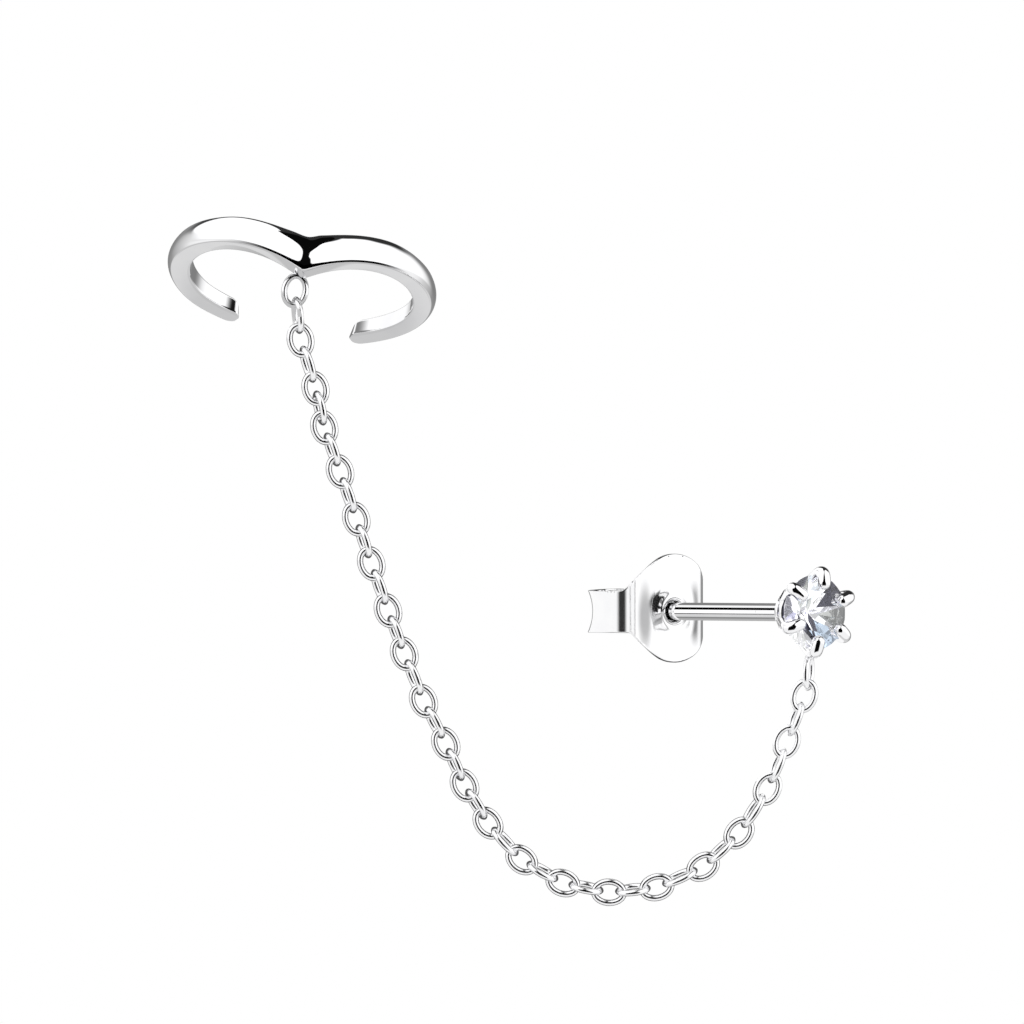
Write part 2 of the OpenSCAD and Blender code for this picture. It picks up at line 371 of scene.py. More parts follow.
def cuff_section(t, wide, tall):
    """Section of the band as [radius, height]. wide and tall draw it in at the ends, where the lower rim stays flat."""
    s = bent(t)
    slope = DIP * (180 / math.pi) / FADE * math.exp(-s / FADE) / CUFF_R
    low = (BAND_H + BAND_GAIN * math.cos(rad(t))) * math.sqrt(1 + slope ** 2) / 2
    top = low + 0.27 * math.exp(-s / 7) + 0.06 * float(smooth_step(-t, 10, 40) * smooth_step(-t, 130, 100))
    top += 0.18 * float(smooth_step(abs(t), 95, 140)) + 0.09 * float(smooth_step(t, -1.2, 4.5) * smooth_step(t, 62, 34))
    top += 0.04 * float(smooth_step(-t, 2, 8) * smooth_step(-t, 50, 25))
    ri, ro, fi, fo, d = CUFF_R - BAND_T, CUFF_R, 0.07, 0.1 + 0.07 * math.exp(-s / 9), 0.02
    fj = 0.07 + 0.06 * float(smooth_step(abs(t), 70, 140))
    tilt = 0.4
    for _ in range(4):
        half = (top + low) / 2 - fo * (1 - math.sin(tilt))
        tilt = math.atan(2 * DOME / half)
    b = math.degrees(tilt)
    cr = ro - fo * math.cos(tilt)
    pts = arc(ri + fi, top - fi, fi, 90, 180, 5)
    pts += [(ri, top - fi - d), (ri, 0.5 * (top - low)), (ri, -low + fj + d)]
    pts += arc(ri + fj, -low + fj, fj, 180, 270, 7)
    pts += [(ri + fj + d, -low), ((ri + cr) / 2, -low), (cr - d, -low)]
    pts += arc(cr, -low + fo, fo, 270, 360 - b, 6)
    z1, z2 = -low + fo - fo * math.sin(tilt), top - fo + fo * math.sin(tilt)
    for i in range(1, 24):
        u = -1 + 2 * i / 24
        pts.append((ro + DOME * (1 - u * u), (z1 + z2) / 2 + u * (z2 - z1) / 2))
    pts += arc(cr, top - fo, fo, b, 90, 6)
    pts += [(cr - d, top), ((ri + cr) / 2, top), (ri + fi + d, top)]
    m = CUFF_R - BAND_T / 2
    return [(m + (r - m) * wide, -low * (0.7 + 0.3 * min(1, tall * 3)) + (z + low) * tall) for r, z in pts]


CUT_LEFT, CUT_RIGHT = 3.2, 1.8     # the rounded tips end a little short of the gap's edge


def cuff_stations():
    """Angle, width and height of each section; the ends are rounded in plan and slope down to a tip."""
    half = 180 - GAP_HALF - CUT_LEFT
    more = CUT_LEFT - CUT_RIGHT
    body = [0, 0.15, 0.3, 0.5, 0.7, 0.95, 1.2, 1.5, 1.8, 2.2, 2.6, 3.1, 3.7, 4.4, 5.2, 6.1, 7.2, 8.5, 10]
    body += list(np.arange(11.4, half, 1.4))
    ends = [4.4 * math.sin(rad(a)) - 4.4 for a in (0, 8, 16, 24, 32, 40, 48, 56, 63, 70, 76, 81, 85, 88)]

    def sized(t):
        end = half + (more if t > 0 else 0)
        x = min(max((abs(t) - (end - 4.4)) / 4.4, 0), 1)
        y = min(max((abs(t) - (end - 8.0)) / 8.0, 0), 1)
        lean = 1.1 * float(smooth_step(abs(t), end - 8, end))
        return t, max(math.sqrt(1 - x * x), 0.03), max(1 - y ** 2.1, 0.0) ** 0.55 * 0.98 + 0.02, lean

    left = [POINT_AT - t for t in body if POINT_AT - t > -half + 4.6]
    right = [POINT_AT + t for t in body[1:] if POINT_AT + t < half + more - 4.6]
    return [sized(t) for t in [-half - t for t in ends[::-1]] + left[::-1] + right + [half + more + t for t in ends]]


def make_cuff():
    rows = []
    for t, wide, tall, lean in cuff_stations():
        lift = DIP * (1 - math.exp(-bent(t) / FADE)) + 0.07 * float(smooth_step(t, 90, 145)) + 0.09 * float(smooth_step(-t, 122, 152))
        section = cuff_section(t, wide, tall)
        low, high = min(z for r, z in section), max(z for r, z in section)
        row = []
        for r, z in section:
            # the upper edge ends sooner than the lower one
            q = rad(t - math.copysign(lean, t) * ((z - low) / (high - low)) ** 1.3)
            row.append((r * math.sin(q) - 0.07 * (r * math.sin(q) / CUFF_R) ** 2, -r * math.cos(q), z + lift))
        rows.append(row)
    rows = placed(CUFF_PLACE, rows)
    shell = Shell()
    shell.rings(rows)
    return shell.make("cuff_band", SILVER)


cuff = make_cuff()
# the underside of the point is brushed where the chain is joined on
back_to_cuff = CUFF_PLACE.inverted()
brushed = cuff.data.attributes.new("brushed", "FLOAT", "POINT")
for vertex in cuff.data.vertices:
    at = back_to_cuff @ (vertex.co * 1000)
    down = -(back_to_cuff.to_3x3() @ vertex.normal).z
    near = float(smooth_step(abs(at.x), 1.7, 0.6)) if at.y < 0 else 0.0
    brushed.data[vertex.index].value = near * float(smooth_step(down, 0.6, 0.85))
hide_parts("ear_cuff")
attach(cuff, "root")

# ------------------------------------------------------------------ chain ---
# Middles of the 22 links that show their face, [across, up] in the chain's
# plane, from the cuff's point to the setting. Between each two, and after the
# last, is a link seen from its edge.

LINKS = [
    (-19.86, 12.88), (-19.64, 10.90), (-19.04, 8.96), (-18.69, 7.40), (-18.06, 5.64),
    (-17.41, 3.74), (-16.81, 1.96), (-16.14, 0.08), (-15.49, -1.65), (-14.72, -3.54),
    (-13.83, -5.25), (-13.08, -6.91), (-12.14, -8.42), (-10.79, -9.89), (-9.14, -10.82),
    (-7.30, -11.19), (-5.39, -10.99), (-3.54, -10.17), (-2.10, -8.82), (-0.96, -7.05),
    (-0.20, -5.17), (0.50, -3.33),
]
LAST_EDGE = (0.68, -2.38)
CHAIN_Y = -1.09
WIRE = 0.25
LINK_A, LINK_B = 0.595, 0.425
HANG = Matrix.Rotation(VIEW, 4, "Z")


def ridged(power, sides):
    """Section of the drawn wire: round, with a soft ridge in front, behind and at each side."""
    out = []
    for i in range(sides):
        q = 2 * math.pi * i / sides
        c, s = math.cos(q), math.sin(q)
        out.append((math.copysign(abs(c) ** (2 / power), c), math.copysign(abs(s) ** (2 / power), s)))
    return out


WIRE_SECTION = ridged(1.72, 32)


def link(shell, middle, along, side, out, a, b, wire, around=56):
    """One oval link: along is its long direction, out the way its opening faces."""
    rows = []
    for i in range(around):
        q = 2 * math.pi * i / around
        p = middle + along * (a * math.cos(q)) + side * (b * math.sin(q))
        outward = (along * (b * math.cos(q)) + side * (a * math.sin(q))).normalized()
        rows.append([p + (outward * u + out * v) * (wire / 2) for u, v in WIRE_SECTION])
    shell.rings(rows, closed=True)


def make_chain():
    shell = Shell()
    pts = [Vector((x, CHAIN_Y, z)) for x, z in LINKS]
    front = Vector((0, -1, 0))
    faces, edges = [], []
    for i, p in enumerate(pts):
        a, b = pts[max(i - 1, 0)], pts[min(i + 1, len(pts) - 1)]
        t = (b - a).normalized()
        if i == 0:
            t = Vector((math.sin(rad(-10)), 0, -math.cos(rad(-10))))
        if i == len(pts) - 1:
            t = Vector((0.33, 0, 0.94)).normalized()
        faces.append((p, t, LINK_A))
    for i in range(len(pts) - 1):
        t = (pts[i + 1] - pts[i]).normalized()
        gap = (pts[i + 1] - pts[i]).length
        half = min(max(gap / 2 - LINK_A + WIRE - 0.02, 0.595), 0.67)
        edges.append(((pts[i] + pts[i + 1]) / 2, t, half))
    edges.append((Vector((LAST_EDGE[0], CHAIN_Y, LAST_EDGE[1])), Vector((0.05, 0, 1)).normalized(), 0.63))
    for p, t, half in faces:
        side = t.cross(front).normalized()
        link(shell, p, t, side, front, half, LINK_B, WIRE)
    for i, (p, t, half) in enumerate(edges):
        side = t.cross(front).normalized()
        q = rad(-17 if i < 12 or i == len(edges) - 1 else 17)
        away = (front * math.cos(q) + side * math.sin(q)).normalized()
        link(shell, p, t, away, t.cross(away).normalized(), half, 0.415, WIRE)
    shell.verts = [tuple(HANG @ Vector(v)) for v in shell.verts]
    return shell.make("chain_links", SILVER_WIRE)


chain = make_chain()
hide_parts("chain")
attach(chain, "root")

# -------------------------------------------------------- setting and post ---

STONE_R, GIRDLE_Y = 1.5, 1.6
POST_R, POST_LEN = 0.36, 12.0


def prong_path():
    """[radius, y] from the base, up the basket and over the stone's edge."""
    foot, knee, tip = np.array([0.61, -0.1]), np.array([1.74, -1.93]), np.array([1.18, -2.06])
    pts = [foot + (knee - foot) * f for f in (0, 0.25, 0.5, 0.68)]
    a, b = foot + (knee - foot) * 0.78, knee + (tip - knee) * 0.6
    for i in range(9):
        f = i / 8
        pts.append(a * (1 - f) ** 2 + knee * 2 * f * (1 - f) + b * f * f)
    pts.append(tip)
    return pts


def make_setting():
    shell = Shell()
    # base disc with rounded edges
    r, h, e = 0.85, 0.22, 0.05
    lathe(shell, [(0.02, 0.0), (r - e, 0.0)] + [(x, -y) for x, y in arc(r - e, e, e, -90, 0, 4)[1:]]
          + [(x, -y) for x, y in arc(r - e, h - e, e, 0, 90, 4)] + [(0.02, -h)][::1])
    # gallery ring
    ring = [[((1.0 + 0.15 * math.cos(q)) * math.cos(a), -0.78 + 0.15 * math.sin(q),
              (1.0 + 0.15 * math.cos(q)) * math.sin(a))
             for q in np.linspace(0, 2 * math.pi, 20, endpoint=False)]
            for a in np.linspace(0, 2 * math.pi, 72, endpoint=False)]
    shell.rings(ring, closed=True)
    # prongs
    path = prong_path()
    for i in range(6):
        a = rad(83.2 + 60 * i)
        pts = [Vector((p[0] * math.cos(a), p[1], p[0] * math.sin(a))) for p in path]
        n = len(pts) - 1
        tube(shell, pts, [0.23 + 0.035 * min(j / 5, 1) for j in range(n + 1)], sides=28)
    # post with its notch and rounded tip
    rn, n0, n1 = POST_R - 0.06, POST_LEN - 1.15, POST_LEN - 0.7
    profile = [(0.01, -0.1), (POST_R + 0.05, -0.1), (POST_R + 0.05, 0.0), (POST_R + 0.02, 0.03), (POST_R, 0.08)]
    profile += [(POST_R, y) for y in np.arange(0.2, n0 - 0.1, 0.4)] + [(POST_R, n0 - 0.03), (POST_R, n0)]
    profile += [(rn, n0 + 0.07), (rn, n0 + 0.1), (rn, n1 - 0.1), (rn, n1 - 0.07), (POST_R, n1), (POST_R, n1 + 0.03)]
    profile += [(POST_R, POST_LEN - 0.26)]
    profile += [(x, y) for x, y in arc(POST_R - 0.22, POST_LEN - 0.22, 0.22, 0, 88, 8)]
    profile += [(0.01, POST_LEN)]
    lathe(shell, profile)
    return shell.make("setting_and_post", SILVER)


setting = make_setting()
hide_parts("stud_setting")
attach(setting, "root")

# ---------------------------------------------------------------- crystal ---


def make_crystal():
    r, rt, crown, pav, edge = STONE_R, STONE_R * 0.57, 0.45, 1.29, 0.03
    rs = (r + rt) / 2
    zs = edge + (crown - edge) * (r - rs * math.cos(rad(22.5))) / (r - rt * math.cos(rad(22.5)))
    rl = r * 0.24
    zl = -pav + (pav - edge) * 0.24 * math.cos(rad(22.5))
    turn = rad(11.25)

    def at(radius, deg, z):
        a = rad(deg) + turn
        return (radius * math.cos(a), radius * math.sin(a), z)

    table = [at(rt, 45 * i, crown) for i in range(8)]
    stars = [at(rs, 45 * i + 22.5, zs) for i in range(8)]
    lows = [at(rl, 45 * i + 22.5, zl) for i in range(8)]
    culet = (0, 0, -pav)

    def on_plane(p, q, s, radius, deg):
        """Point of the plane p q s at a radius and angle."""
        p, q, s = Vector(p), Vector(q), Vector(s)
        n = (q - p).cross(s - p)
        x, y, _ = at(radius, deg, 0)
        return (x, y, p.z - (n.x * (x - p.x) + n.y * (y - p.y)) / n.z)

    verts, faces = [], []

    def poly(points):
        base = len(verts)
        verts.extend(points)
        faces.append(list(range(base, base + len(points))))

    poly(table)
    tops, bottoms = {}, {}
    fine = 5
    for i in range(16):
        a0, a1 = 22.5 * i, 22.5 * (i + 1)
        j = i // 2
        g0, g1 = at(r, a0, edge), at(r, a1, edge)
        h0, h1 = at(r, a0, -edge), at(r, a1, -edge)
        for f in range(fine + 1):
            a = a0 + (a1 - a0) * f / fine
            tops[(i, f)] = on_plane(stars[j], g0, g1, r, a)
            bottoms[(i, f)] = on_plane(lows[j], h0, h1, r, a)
    for i in range(8):
        poly([table[(i + 1) % 8], table[i], stars[i]])
        poly([table[i], stars[(i + 7) % 8], at(r, 45 * i, edge), stars[i]])
        for j in (2 * i, 2 * i + 1):
            poly([stars[i]] + [tops[(j, f)] for f in range(fine + 1)])
            poly([lows[i]] + [bottoms[(j, f)] for f in range(fine, -1, -1)])
            for f in range(fine):
                poly([tops[(j, f)], bottoms[(j, f)], bottoms[(j, f + 1)], tops[(j, f + 1)]])
        poly([at(r, 45 * i, -edge), lows[(i + 7) % 8], culet, lows[i]])
    shell = Shell()
    shell.add([(x, -z - GIRDLE_Y, y) for x, y, z in verts], faces)
    obj = shell.make("crystal_brilliant", CRYSTAL, smooth=False)
    obj.data.materials.append(PAINTED_FACETS)
    bm = bmesh.new()
    bm.from_mesh(obj.data)
    bmesh.ops.remove_doubles(bm, verts=bm.verts, dist=1e-7)
    bmesh.ops.recalc_face_normals(bm, faces=bm.faces)
    tint = bm.faces.layers.float.new("tint")
    for face in bm.faces:
        c = face.calc_center_median() / MM
        if face.normal.y < 0.2:
            continue
        # lower facets: eight kites and, next to the edge, sixteen triangles, each with a painted reflection tint
        face.material_index = 1
        deg = math.degrees(math.atan2(c.z, c.x)) % 360
        kite = len(face.verts) == 4
        k = int(deg / 45) if kite else int(deg / 22.5)
        face[tint] = ((KITE_PAINTED_REFLECTIONS if kite else TRIANGLE_PAINTED_REFLECTIONS)[k] + 0.5) / len(FACET_PAINTED_REFLECTIONS)
    bm.to_mesh(obj.data)
    bm.free()
    return obj


crystal = make_crystal()
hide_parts("crystal")
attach(crystal, "root")

# -------------------------------------------------------------------- nut ---
# A sheet cut to an oval with a strip at each side, bent back and curled in.
# (s, z) are lengths along and across the flat blank, s = 0 at the hole.

NUT_Y, SHEET = 7.95, 0.26
FLAT, BEND_R, CURL_Y = 0.75, 1.05, 3.1
CURL_IN = POST_R + 0.04 + SHEET / 2 + 0.02
CURL_R = (1.8 - CURL_IN) / 2
STRIP = 0.87


def nut_line():
    pts = [(x, 0.0) for x in np.linspace(0, FLAT, 40)]
    pts += [(FLAT + BEND_R * math.sin(rad(a)), BEND_R * (1 - math.cos(rad(a)))) for a in np.arange(1, 91, 1.0)]
    pts += [(1.8, y) for y in np.linspace(BEND_R, CURL_Y, 60)[1:]]
    for a in np.arange(2, 264.1, 2.0):
        k, o = (0.86, 0.14 * CURL_R) if a > 180 else (1.0, 0.0)
        pts.append((CURL_IN + CURL_R + CURL_R * math.cos(rad(a)) * k - o, CURL_Y + CURL_R * math.sin(rad(a))))
    return np.array(pts)


LINE = nut_line()
RUN = np.concatenate([[0], np.cumsum(np.linalg.norm(np.diff(LINE, axis=0), axis=1))])
END = float(RUN[-1])
_tan = np.gradient(LINE, RUN, axis=0)
_tan /= np.linalg.norm(_tan, axis=1)[:, None]


def on_line(s):
    """Place, tangent and outer normal of the sheet's middle in plan, at run s from the hole."""
    a, sign = np.abs(s), np.where(s < 0, -1.0, 1.0)
    x, y = np.interp(a, RUN, LINE[:, 0]), np.interp(a, RUN, LINE[:, 1])
    tx, ty = np.interp(a, RUN, _tan[:, 0]), np.interp(a, RUN, _tan[:, 1])
    k = np.hypot(tx, ty)
    tx, ty = tx / k, ty / k
    return x * sign, y, tx, ty * sign, ty * sign, -tx


def soft_max(a, b, k):
    h = np.clip(0.5 + 0.5 * (a - b) / k, 0, 1)
    return b + (a - b) * h + k * h * (1 - h)


def blank_top(s):
    x = np.abs(on_line(np.asarray(s, float))[0])
    a = np.abs(s)
    oval = 2.2 * np.sqrt(np.clip(1 - (x / 1.9) ** 2, 0, 1))
    strip = STRIP - 0.05 + 0.09 * smooth_step(a, 4.0, 6.4)
    return np.where(a > 3.4, strip, soft_max(0.13 + oval, strip, 0.07))


def blank_low(s):
    x = np.abs(on_line(np.asarray(s, float))[0])
    a = np.abs(s)
    oval = 2.2 * np.sqrt(np.clip(1 - (x / 1.9) ** 2, 0, 1))
    return -np.where(a > 3.4, STRIP + 0 * a, soft_max(oval - 0.13, STRIP + 0 * a, 0.07))


def curve_of(points, soft=0.03):
    """A smooth curve near the points."""
    r = [p[0] for p in points]
    v = [p[1] for p in points]
    xs = np.arange(r[0] - 0.4, r[-1] + 0.4, 0.004)
    ys = np.interp(xs, r, v)
    k = np.exp(-0.5 * (np.arange(-30, 31) * 0.004 / soft) ** 2)
    ys = np.convolve(np.pad(ys, 30, mode="edge"), k / k.sum(), mode="valid")
    return lambda x: np.interp(x, xs, ys)


# depth of the dished front face and of the back, against the radius
DISH_FRONT = curve_of([(0.36, 0.24), (0.42, 0.12), (0.47, 0.05), (0.53, 0.02), (0.58, 0.035), (0.63, 0.07),
                       (0.70, 0.075), (0.80, 0.06), (0.90, 0.04), (1.00, 0.02), (1.10, 0.008), (1.20, 0.0)], 0.05)
DISH_BACK = curve_of([(0.40, 0.90), (0.60, 0.90), (0.70, 0.86), (0.78, 0.72), (0.90, 0.48), (1.0, 0.34),
                      (1.1, 0.28), (1.22, 0.26)])


def nut_point(s, z, face):
    """face 1 is the outer skin, 0 the inner one."""
    s, z = np.asarray(s, float), np.asarray(z, float)
    x, y, tx, ty, nx, ny = on_line(s)
    r = np.hypot(x, z)
    near = np.abs(s) < 1.6
    depth = np.where(near, DISH_FRONT(r) if face else DISH_BACK(r) - SHEET, 0)
    a = np.abs(s)
    waist = 0.21 * smooth_step(a, 2.75, 3.9) * (1 - 0.35 * smooth_step(a, 5.2, 6.6))
    swell = 0.035 * smooth_step(a, 1.9, 2.6) * (1 - smooth_step(a, 2.6, 3.3))
    depth = depth + waist * np.clip(1 - (z / 0.9) ** 2, 0, 1) - swell
    off = SHEET / 2 * (1 if face else -1) - depth
    return np.stack([x + nx * off, NUT_Y + SHEET / 2 + y + ny * off, z], axis=-1)


def inside(poly, pts):
    x, y = pts[:, 0], pts[:, 1]
    hit = np.zeros(len(pts), bool)
    n = len(poly)
    for i in range(n):
        x0, y0 = poly[i]
        x1, y1 = poly[(i + 1) % n]
        cross = (y0 > y) != (y1 > y)
        with np.errstate(divide="ignore", invalid="ignore"):
            at = (x1 - x0) * (y - y0) / (y1 - y0) + x0
        hit ^= cross & (x < at)
    return hit


def make_nut():
    # outline of the blank, counter-clockwise
    run = np.concatenate([np.arange(0, 2.6, 0.055), np.arange(2.6, END - 0.2, 0.09)])
    run = np.concatenate([-run[::-1], run[1:]])
    low = [(s, float(blank_low(s))) for s in run]
    top = [(s, float(blank_top(s))) for s in run[::-1]]
    c, e0 = 0.14, END - 0.005
    zt, zb = float(blank_top(e0)), float(blank_low(e0))
    right = arc(e0 - c, zb + c, c, -90, 0, 4) + [(e0, zb + c + (zt - zb - 2 * c) * f) for f in np.linspace(0, 1, 18)[1:-1]] \
        + arc(e0 - c, zt - c, c, 0, 90, 4)
    left = [(-x, y) for x, y in right][::-1]
    outline = np.array(low + right + top + left)
    hole = np.array([(0.405 * math.cos(2 * math.pi * i / 72), 0.405 * math.sin(2 * math.pi * i / 72)) for i in range(72)])
    # points of the blank
    rings = []
    for k, r in enumerate([0.43, 0.46, 0.49, 0.52, 0.55, 0.58, 0.61, 0.64, 0.67, 0.70, 0.74, 0.78, 0.82, 0.86,
                           0.90, 0.94, 0.98, 1.02, 1.06, 1.11, 1.16, 1.22]):
        o = (k % 2) * 0.5
        rings += [(r * math.cos(2 * math.pi * (i + o) / 72), r * math.sin(2 * math.pi * (i + o) / 72)) for i in range(72)]
    grid = []
    for k, s in enumerate(np.arange(0, END, 0.07)):
        for z in np.arange(-2.3, 2.5, 0.085):
            zz = z + (0.0425 if k % 2 else 0)
            grid += [(s, zz), (-s, zz)] if s > 0 else [(s, zz)]
    grid = np.array(grid)
    grid = grid[inside(outline, grid)]
    grid = grid[np.hypot(grid[:, 0], grid[:, 1]) > 1.275]
    near = np.array([np.min(np.hypot(outline[:, 0] - p[0], outline[:, 1] - p[1])) for p in grid])
    grid = grid[near > 0.05]
    pts = np.concatenate([outline, hole, np.array(rings), grid])
    no, nh = len(outline), len(hole)
    bars = [(i, (i + 1) % no) for i in range(no)] + [(no + i, no + (i + 1) % nh) for i in range(nh)]
    out = delaunay_2d_cdt([Vector((float(x), float(y))) for x, y in pts], bars, [], 0, 1e-6, True)
    verts, tris, origin = out[0], out[2], out[3]
    place = {}
    for k, ids in enumerate(origin):
        for i in ids:
            place.setdefault(i, k)
    p2 = np.array([(v.x, v.y) for v in verts])
    centre = np.array([p2[list(t)].mean(0) for t in tris])
    keep = inside(outline, centre) & (np.hypot(centre[:, 0], centre[:, 1]) > 0.4045)
    tris = [list(t) for t, k in zip(tris, keep) if k]
    area = [np.cross(p2[t[1]] - p2[t[0]], p2[t[2]] - p2[t[0]]) for t in tris]
    tris = [t if a > 0 else t[::-1] for t, a in zip(tris, area) if abs(a) > 1e-9]
    loops = [[place[i] for i in range(no)], [place[no + i] for i in range(nh)][::-1]]

    # the flat blank's rim is drawn in a little, and rounded over
    e = 0.045
    moved = p2.copy()
    outward = {}
    for loop in loops:
        n = len(loop)
        for k, i in enumerate(loop):
            d = p2[loop[(k + 1) % n]] - p2[loop[k - 1]]
            o = np.array([d[1], -d[0]]) / np.linalg.norm(d)
            outward[i] = o
            moved[i] = p2[i] - o * e
    count = len(p2)
    front = nut_point(moved[:, 0], moved[:, 1], 1)
    back = nut_point(moved[:, 0], moved[:, 1], 0)
    allv = [front, back]
    faces = [t for t in tris] + [[count + i for i in t[::-1]] for t in tris]
    base = 2 * count
    for loop in loops:
        ids = np.array(loop)
        s, z = p2[ids, 0], p2[ids, 1]
        pf, pb = nut_point(s, z, 1), nut_point(s, z, 0)
        gap = np.linalg.norm(pf - pb, axis=1)[:, None]
        nrm = (pf - pb) / gap
        _, _, tx, ty, _, _ = on_line(s)
        o = np.array([outward[i] for i in loop])
        side = np.stack([o[:, 0] * tx, o[:, 0] * ty, o[:, 1]], axis=-1)
        rows = [ids]
        for depth, draw in ((e * 0.29, e * 0.29), (e, 0.0), (None, 0.0), (-e * 0.29, e * 0.29)):
            if depth is None:
                p = pb + nrm * e
            elif depth < 0:
                p = pb + nrm * -depth - side * draw
            else:
                p = pf - nrm * depth - side * draw
            rows.append(np.arange(base, base + len(loop)))
            base += len(loop)
            allv.append(p)
        rows.append(ids + count)
        n = len(loop)
        for a, b in zip(rows[:-1], rows[1:]):
            for k in range(n):
                q = (k + 1) % n
                faces.append([a[k], b[k], b[q], a[q]])
    shell = Shell()
    shell.add(np.concatenate(allv), faces)
    return shell.make("scroll_nut", SILVER_SHEET)


nut = make_nut()
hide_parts("ear_nut")
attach(nut, "nut")

# ----------------------------------------------------------------- studio ---


def make_world():
    """A dark room with two big soft boxes either side of the camera; the camera itself sees plain white."""
    world = bpy.data.worlds.new("studio")
    bpy.context.scene.world = world
    world.use_nodes = True
    n = Nodes(world.node_tree)
    shade = world.node_tree.nodes["Background"]
    where = n.new("ShaderNodeTexCoord").outputs["Generated"]
    parts = n.new("ShaderNodeSeparateXYZ")
    n.put(parts.inputs[0], where)
    x, y, z = parts.outputs
    # right of, and towards, the studio's front; then degrees round and up
    sx = n.math("ADD", n.math("MULTIPLY", x, RIGHT.x), n.math("MULTIPLY", y, RIGHT.y))
    sy = n.math("ADD", n.math("MULTIPLY", x, BACK.x), n.math("MULTIPLY", y, BACK.y))
    turn = n.math("MULTIPLY", n.math("ARCTAN2", sx, sy), 57.29578)
    lift = n.math("MULTIPLY", n.math("ARCSINE", z), 57.29578)
    height = n.math("MULTIPLY_ADD", lift, 1 / 180, 0.5)

    def edge(points):
        """Degrees round as a function of degrees up."""
        node = n.new("ShaderNodeFloatCurve")
        curve = node.mapping.curves[0]
        pts = [(-90, points[0][1])] + points + [(90, points[-1][1])]
        while len(curve.points) < len(pts):
            curve.points.new(0.5, 0.5)
        for q, (up, az) in zip(sorted(curve.points, key=lambda c: c.location[0]), pts):
            q.location = ((up + 90) / 180, (az + 180) / 360)
            q.handle_type = "AUTO_CLAMPED"
        node.mapping.update()
        n.put(node.inputs["Value"], height)
        return n.math("MULTIPLY_ADD", node.outputs[0], 360, -180)

    def both(*m):
        out = m[0]
        for k in m[1:]:
            out = n.math("MULTIPLY", out, k)
        return out

    def over(base, mask, value):
        """base, with value laid over it where mask is 1."""
        rest = n.math("SUBTRACT", 1.0, mask)
        return n.math("MULTIPLY_ADD", base, rest, n.math("MULTIPLY", mask, value))

    def patch(az, up, wide, tall, soft=0.35):
        u = n.math("DIVIDE", n.math("SUBTRACT", turn, az), wide)
        v = n.math("DIVIDE", n.math("SUBTRACT", lift, up), tall)
        d = n.math("SQRT", n.math("ADD", n.math("MULTIPLY", u, u), n.math("MULTIPLY", v, v)))
        return n.step(d, 1 + soft, 1 - soft)

    # grey room behind, darker high up and to the sides, pale low down
    room = n.new("ShaderNodeMapRange")
    n.put(room.inputs[0], n.math("ABSOLUTE", turn))
    for i, value in ((1, 112), (2, 146), (3, 0.80), (4, 0.30)):
        room.inputs[i].default_value = value
    light = over(room.outputs[0], n.step(lift, 14, 32), 0.03)
    light = over(light, patch(-163, 3, 14, 13, 0.6), 0.24)
    light = over(light, patch(150, 6, 17, 22, 0.4), 0.22)
    light = over(light, both(n.step(n.math("ABSOLUTE", turn), 120, 150), n.step(lift, -25, -37)), 0.67)
    # camera's side: the pale table
    front = n.step(n.math("ABSOLUTE", turn), 124, 100)
    light = over(light, both(front, n.step(lift, 0, -6)), 0.95)
    # left box, from behind the left round to the gap by the camera, and up
    gap_left = edge([(-30, -40), (0, -36), (10, -35), (15, -32), (20, -27), (24, -19), (30, -11), (45, 0), (55, 6), (62, 10),
                     (68, 13), (73, 10), (78, 2), (83, -14), (87, -55), (89, -110)])
    left_end = edge([(-20, -98), (-5, -101), (5, -106), (15, -113), (22, -126), (30, -142), (42, -149), (65, -150),
                     (76, -165), (86, -178)])
    left_soft = n.math("MULTIPLY_ADD", n.step(lift, 14, 30), -5, 9)
    left = both(n.step(n.math("SUBTRACT", turn, gap_left), 0.8, -0.8),
                n.step(n.math("DIVIDE", n.math("SUBTRACT", turn, left_end), left_soft), -1, 1), n.step(lift, 89.8, 88),
                n.step(lift, -2.5, 1.5))
    light = over(light, left, 1.15)
    # right box
    gap_right = edge([(0, 35), (5, 33), (10, 30), (18, 24.5), (23, 23), (30, 21), (40, 17), (48, 17), (55, 20), (60, 24),
                      (65, 30), (69, 40), (72, 60), (74, 80), (77, 120)])
    right_end = edge([(-20, 126), (0, 130), (10, 132), (19, 132), (28, 123), (37, 117), (46, 109), (55, 107),
                      (62, 102), (70, 96)])
    right_soft = n.math("MULTIPLY_ADD", n.step(lift, 12, 44), -13, 18)
    right = both(n.step(n.math("SUBTRACT", turn, gap_right), -0.8, 0.8),
                 n.step(n.math("DIVIDE", n.math("SUBTRACT", turn, right_end), right_soft), 1, -1),
                 n.step(lift, -17, -12), n.step(lift, 72, 69))
    light = over(light, right, 1.15)
    # the dark gap between them, towards and above the camera
    dark = both(n.step(n.math("SUBTRACT", turn, gap_left), -0.8, 0.8),
                n.step(n.math("SUBTRACT", turn, gap_right), 0.8, -0.8), n.step(lift, -44, -36))
    light = over(light, dark, 0.003)
    path = n.new("ShaderNodeLightPath")
    seen = n.mix(path.outputs["Is Camera Ray"], light, (1, 1, 1, 1))
    n.put(shade.inputs["Color"], seen)
    shade.inputs["Strength"].default_value = 1.0


make_world()


